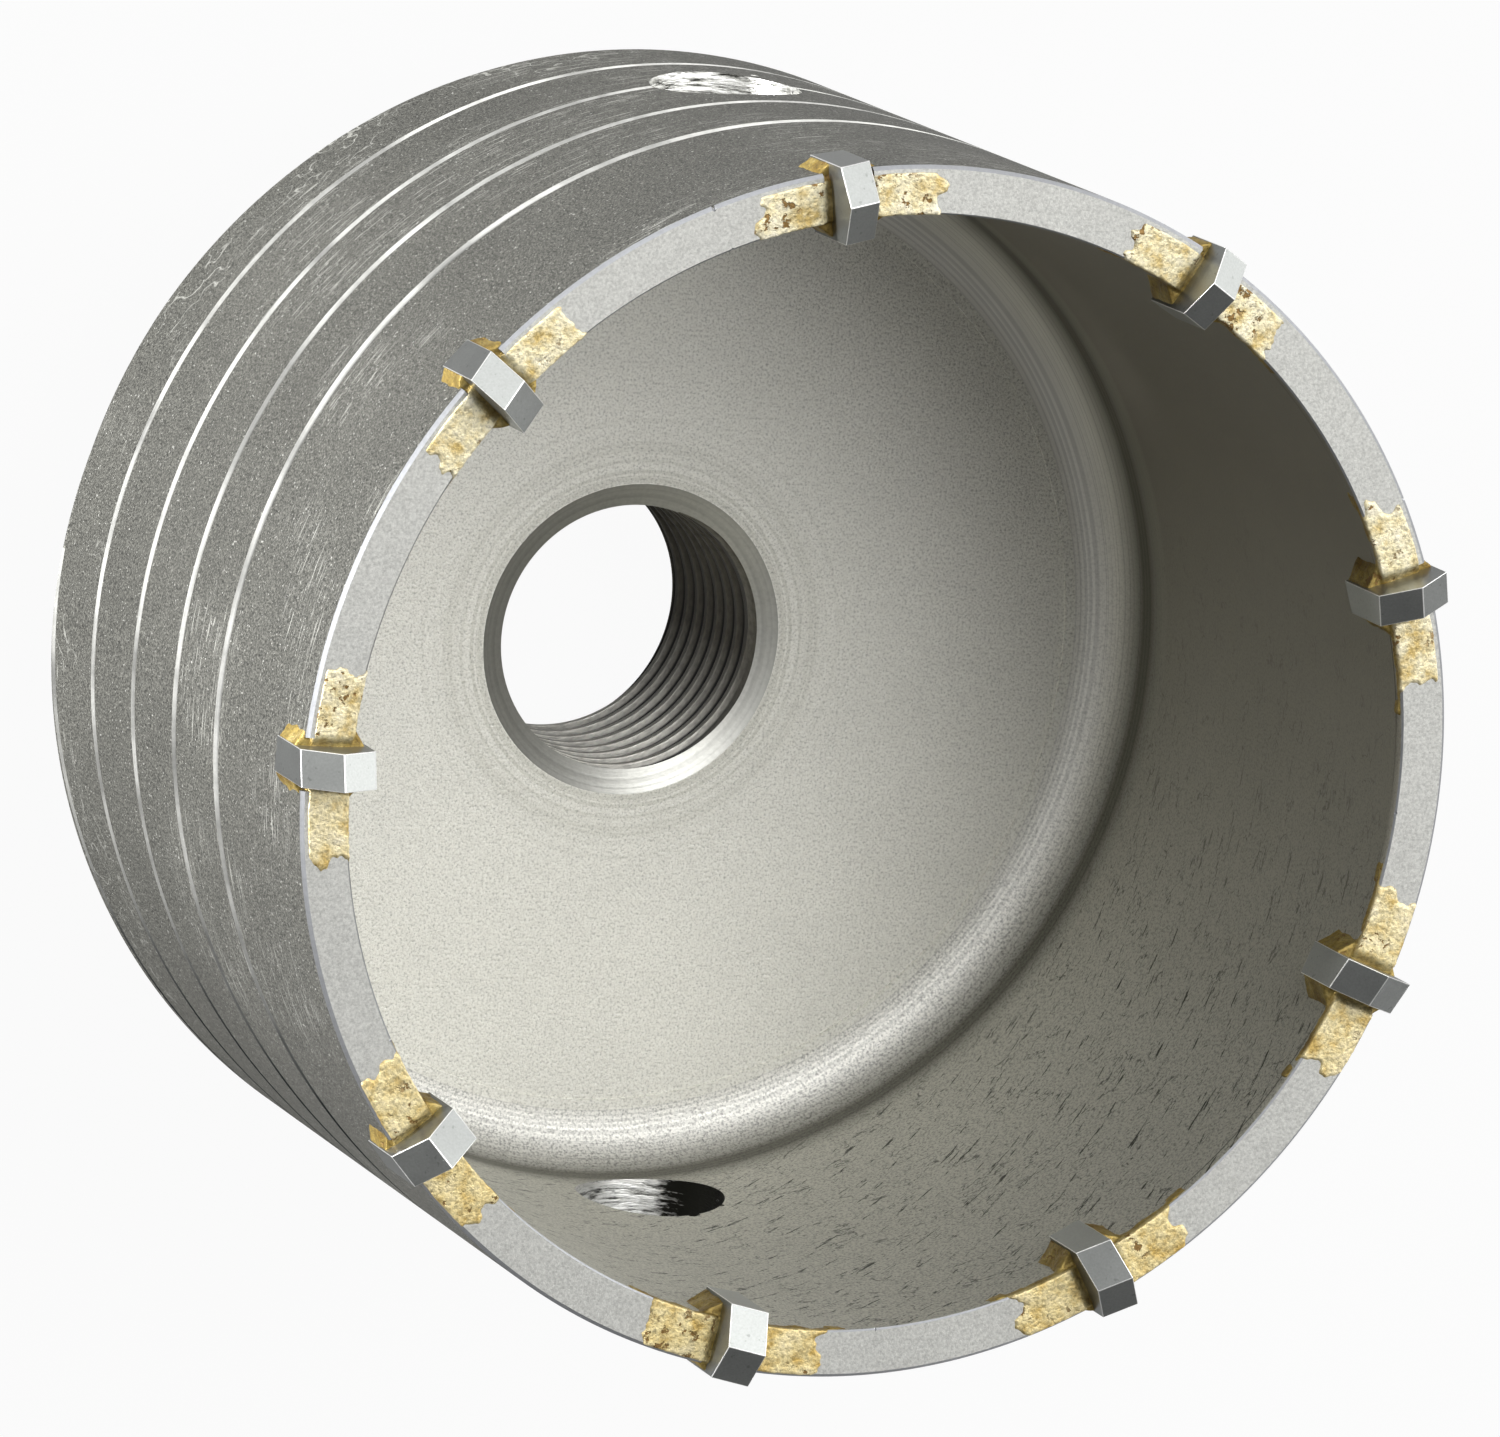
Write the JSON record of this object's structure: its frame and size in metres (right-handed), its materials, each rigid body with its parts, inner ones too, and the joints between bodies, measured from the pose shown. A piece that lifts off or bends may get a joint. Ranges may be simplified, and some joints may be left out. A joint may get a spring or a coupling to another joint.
{
  "type": "hole saw",
  "caption": "Hammer hole saw for masonry: a thick steel cup with a threaded hub, spiral dust groove, cross holes and brazed hard-metal tips round its rim.",
  "frame": {"origin": "centre of the hub's back face, on the axis of the threaded bore", "axes": "+Z along the axis from the hub to the tips; +X through the first tip"},
  "size_m": [0.0867, 0.0864, 0.0704],
  "materials": {
    "steel": "bead-blasted and lightly oiled, fine grain",
    "hard_metal": "ground, fine satin",
    "braze": "as-flowed, pitted and blasted"
  },
  "bodies": {
    "root": {"cup_body": "steel", "carbide_tip_1": "hard_metal", "carbide_tip_2": "hard_metal", "carbide_tip_3": "hard_metal", "carbide_tip_4": "hard_metal", "carbide_tip_5": "hard_metal", "carbide_tip_6": "hard_metal", "carbide_tip_7": "hard_metal", "carbide_tip_8": "hard_metal", "carbide_tip_9": "hard_metal", "braze_1": "braze", "braze_2": "braze", "braze_3": "braze", "braze_4": "braze", "braze_5": "braze", "braze_6": "braze", "braze_7": "braze", "braze_8": "braze", "braze_9": "braze"}
  },
  "joints": []
}
